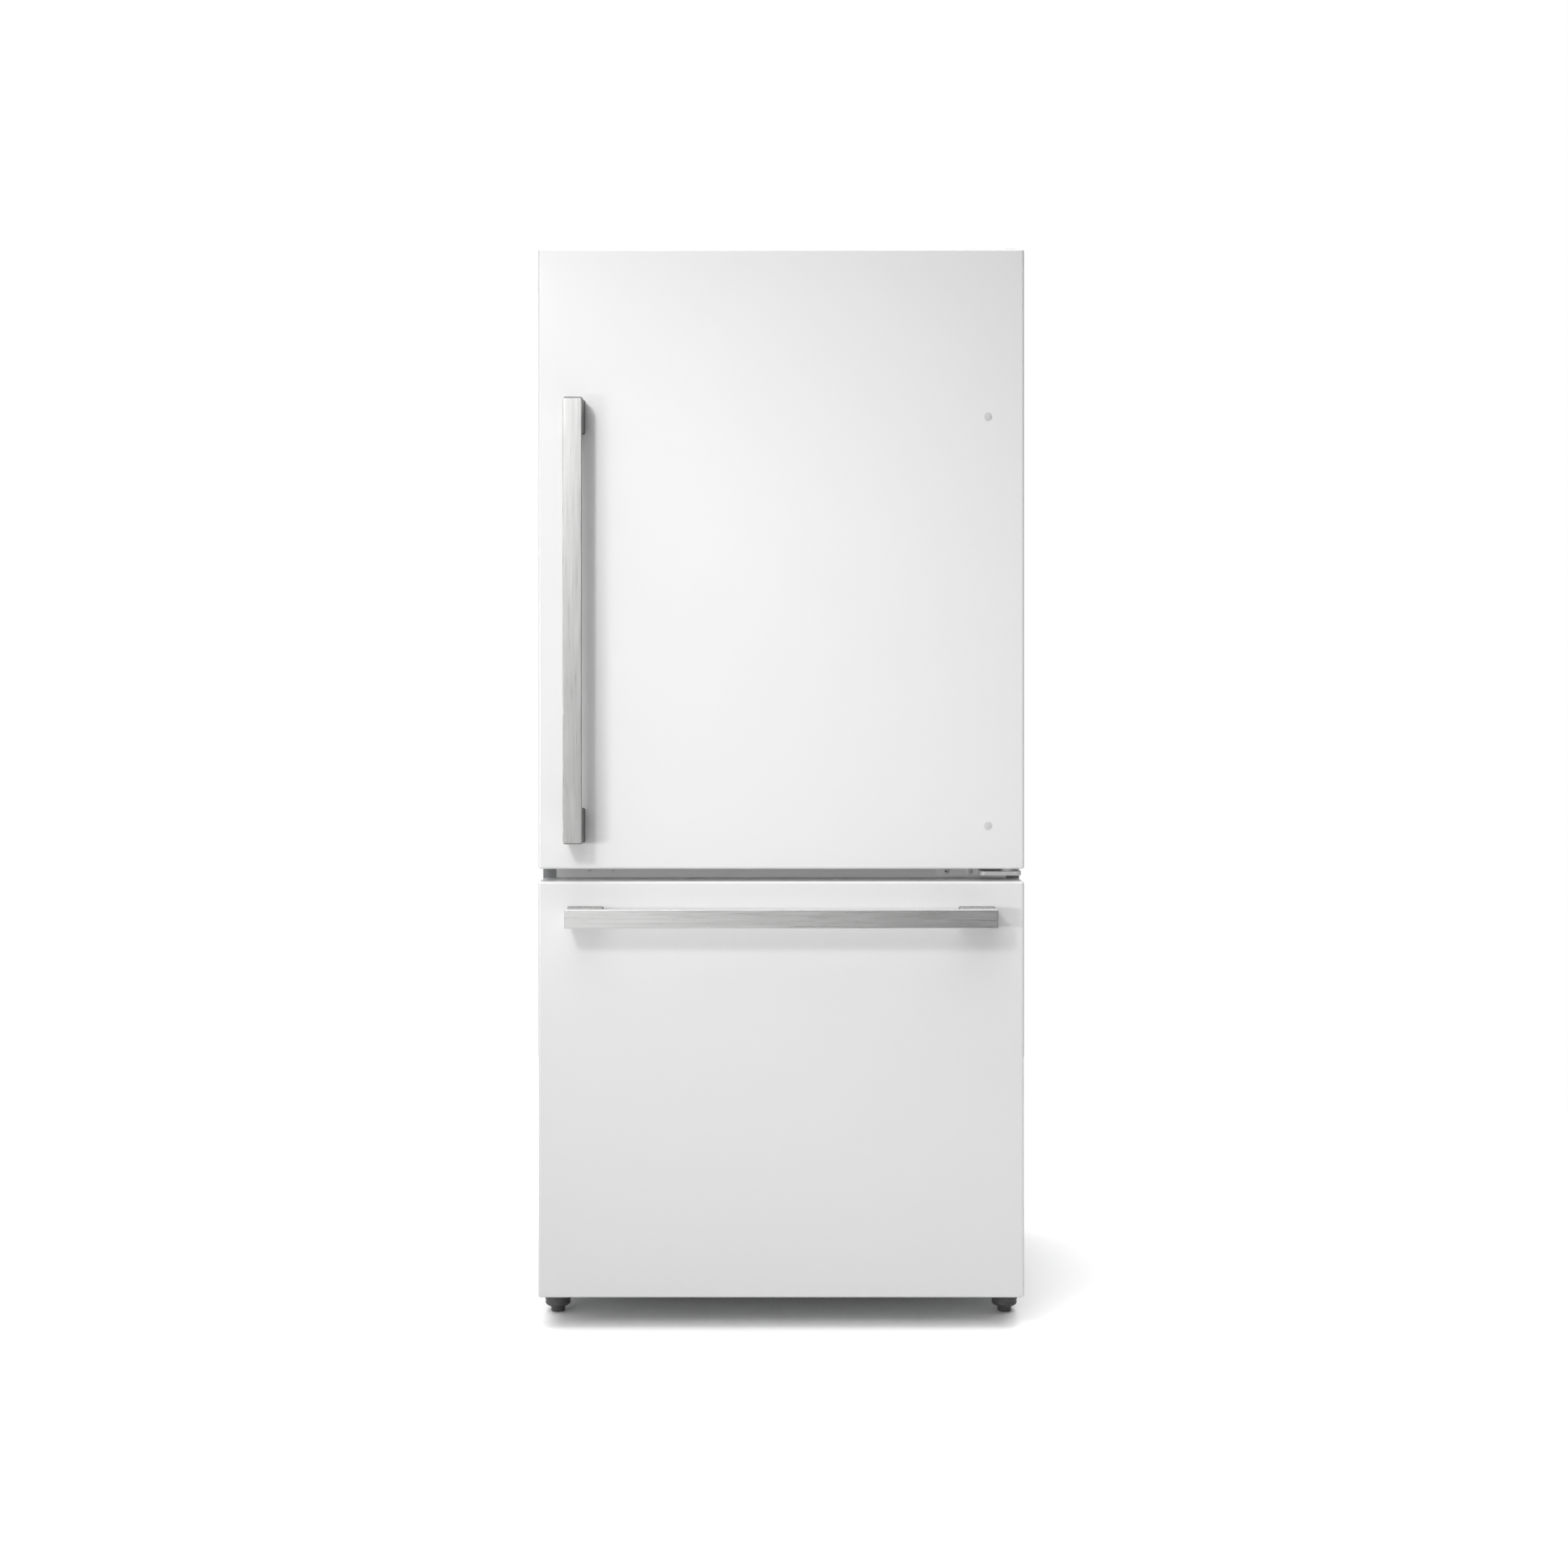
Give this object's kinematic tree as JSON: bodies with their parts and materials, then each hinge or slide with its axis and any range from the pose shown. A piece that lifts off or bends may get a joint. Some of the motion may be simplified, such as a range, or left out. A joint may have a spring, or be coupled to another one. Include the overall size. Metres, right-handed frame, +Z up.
{
  "type": "bottom-freezer refrigerator",
  "caption": "Free-standing bottom-freezer refrigerator with a hinged fridge door over a pull-out freezer drawer, flat steel bar handles, glass shelves, crispers and door bins.",
  "frame": {"origin": "on the floor, under the middle of the whole object's box", "axes": "+Z up, the front with the handles faces -Y, +X is on the right seen from the front"},
  "size_m": [0.79, 0.74, 1.772],
  "materials": {
    "white_paint": "smooth satin white enamel on steel",
    "grey_paint": "fine textured grey paint on steel",
    "rail_paint": "satin grey paint",
    "black_paint": "satin black paint",
    "zinc_steel": "zinc-plated steel",
    "brushed_steel": "stainless steel, fine brushing along its length",
    "white_liner": "vacuum-formed white plastic, semi-gloss",
    "hinge_cover_plastic": "fine textured grey plastic",
    "dark_plastic": "matt dark plastic",
    "black_rubber": "matt black rubber",
    "gasket": "soft grey magnetic door seal",
    "clear_plastic": "clear moulded plastic",
    "basket_plastic": "white moulded plastic",
    "shelf_glass": "clear toughened glass with a moulded rim",
    "copper_tube": "drawn copper tube",
    "aluminium_fins": "mill-finish aluminium fins",
    "foam": "rigid insulating foam"
  },
  "bodies": {
    "cabinet": {"cabinet_shell": "grey_paint", "insulation_foam": "foam", "fridge_liner": "white_liner", "freezer_liner": "white_liner", "mullion_rail": "rail_paint", "base_plate": "zinc_steel", "back_panel": "zinc_steel", "machine_cover": "black_paint", "power_cord_gland": "black_rubber", "top_hinge": "zinc_steel", "top_hinge_cover": "hinge_cover_plastic", "middle_hinge": "zinc_steel", "compressor_base": "zinc_steel", "compressor": "black_paint", "condenser_coil": "copper_tube", "condenser_fan_shroud": "dark_plastic", "evaporator": "aluminium_fins", "evaporator_cover": "white_liner", "air_duct": "white_liner", "control_panel": "white_liner", "crisper_cover": "shelf_glass", "shelf_lower": "shelf_glass", "shelf_upper": "shelf_glass", "rail_outer_left": "zinc_steel", "rail_outer_right": "zinc_steel"},
    "fridge_door": {"door_skin": "white_paint", "door_foam": "foam", "door_liner": "white_liner", "door_gasket": "gasket", "door_handle_bar": "brushed_steel", "door_handle_post_upper": "brushed_steel", "door_handle_post_lower": "brushed_steel", "door_bin_lower": "clear_plastic", "door_bin_upper": "clear_plastic", "dairy_bin": "clear_plastic"},
    "dairy_lid": {"dairy_lid": "clear_plastic"},
    "freezer_drawer": {"drawer_skin": "white_paint", "drawer_foam": "foam", "drawer_liner": "white_liner", "drawer_gasket": "gasket", "drawer_handle_bar": "brushed_steel", "drawer_handle_post_left": "brushed_steel", "drawer_handle_post_right": "brushed_steel", "rail_inner_left": "zinc_steel", "rail_inner_right": "zinc_steel", "freezer_basket": "basket_plastic"},
    "rail_mid_left": {"rail_mid_left": "zinc_steel"},
    "rail_mid_right": {"rail_mid_right": "zinc_steel"},
    "freezer_tray": {"freezer_tray": "basket_plastic"},
    "crisper_left": {"crisper_left": "clear_plastic"},
    "crisper_right": {"crisper_right": "clear_plastic"},
    "humidity_slider_left": {"humidity_slider_left": "dark_plastic"},
    "humidity_slider_right": {"humidity_slider_right": "dark_plastic"},
    "front_foot_left": {"front_foot_left": "dark_plastic"},
    "front_foot_right": {"front_foot_right": "dark_plastic"},
    "rear_roller_left": {"rear_roller_left": "dark_plastic"},
    "rear_roller_right": {"rear_roller_right": "dark_plastic"},
    "condenser_fan": {"condenser_fan": "dark_plastic"},
    "evaporator_fan": {"evaporator_fan": "dark_plastic"}
  },
  "joints": [
    {"name": "fridge_door_hinge", "type": "hinge", "parent": "cabinet", "child": "fridge_door", "pos_m": [0.372, -0.27, 1.25], "axis": [0, 0, 1], "range_deg": [0, 115]},
    {"name": "freezer_drawer_slide", "type": "slide", "parent": "cabinet", "child": "freezer_drawer", "axis": [0, -1, 0], "range_m": [0, 0.38]},
    {"name": "rail_mid_left_slide", "type": "slide", "parent": "cabinet", "child": "rail_mid_left", "axis": [0, -1, 0], "range_m": [0, 0.19]},
    {"name": "rail_mid_right_slide", "type": "slide", "parent": "cabinet", "child": "rail_mid_right", "axis": [0, -1, 0], "range_m": [0, 0.19]},
    {"name": "freezer_tray_slide", "type": "slide", "parent": "cabinet", "child": "freezer_tray", "axis": [0, -1, 0], "range_m": [0, 0.304]},
    {"name": "crisper_left_slide", "type": "slide", "parent": "cabinet", "child": "crisper_left", "axis": [0, -1, 0], "range_m": [0, 0.09]},
    {"name": "crisper_right_slide", "type": "slide", "parent": "cabinet", "child": "crisper_right", "axis": [0, -1, 0], "range_m": [0, 0.09]},
    {"name": "humidity_left_slide", "type": "slide", "parent": "cabinet", "child": "humidity_slider_left", "axis": [1, 0, 0], "range_m": [0, 0.06]},
    {"name": "humidity_right_slide", "type": "slide", "parent": "cabinet", "child": "humidity_slider_right", "axis": [1, 0, 0], "range_m": [0, 0.06]},
    {"name": "dairy_lid_hinge", "type": "hinge", "parent": "fridge_door", "child": "dairy_lid", "pos_m": [0, -0.238, 1.5275], "axis": [1, 0, 0], "range_deg": [0, 88]},
    {"name": "front_foot_left_turn", "type": "hinge", "parent": "cabinet", "child": "front_foot_left", "pos_m": [-0.373, -0.202, 0.025], "axis": [0, 0, 1], "continuous": true},
    {"name": "front_foot_right_turn", "type": "hinge", "parent": "cabinet", "child": "front_foot_right", "pos_m": [0.373, -0.202, 0.025], "axis": [0, 0, 1], "continuous": true},
    {"name": "rear_roller_left_turn", "type": "hinge", "parent": "cabinet", "child": "rear_roller_left", "pos_m": [-0.362, 0.31, 0.02], "axis": [1, 0, 0], "continuous": true},
    {"name": "rear_roller_right_turn", "type": "hinge", "parent": "cabinet", "child": "rear_roller_right", "pos_m": [0.362, 0.31, 0.02], "axis": [1, 0, 0], "continuous": true},
    {"name": "condenser_fan_turn", "type": "hinge", "parent": "cabinet", "child": "condenser_fan", "pos_m": [0.04, 0.275, 0.142], "axis": [1, 0, 0], "continuous": true},
    {"name": "evaporator_fan_turn", "type": "hinge", "parent": "cabinet", "child": "evaporator_fan", "pos_m": [0, 0.247, 0.6], "axis": [0, 1, 0], "continuous": true}
  ],
  "couplings": [
    {"joint": "rail_mid_left_slide", "follows": "freezer_drawer_slide", "ratio": 0.5},
    {"joint": "rail_mid_right_slide", "follows": "freezer_drawer_slide", "ratio": 0.5},
    {"joint": "freezer_tray_slide", "follows": "freezer_drawer_slide", "ratio": 0.8}
  ]
}
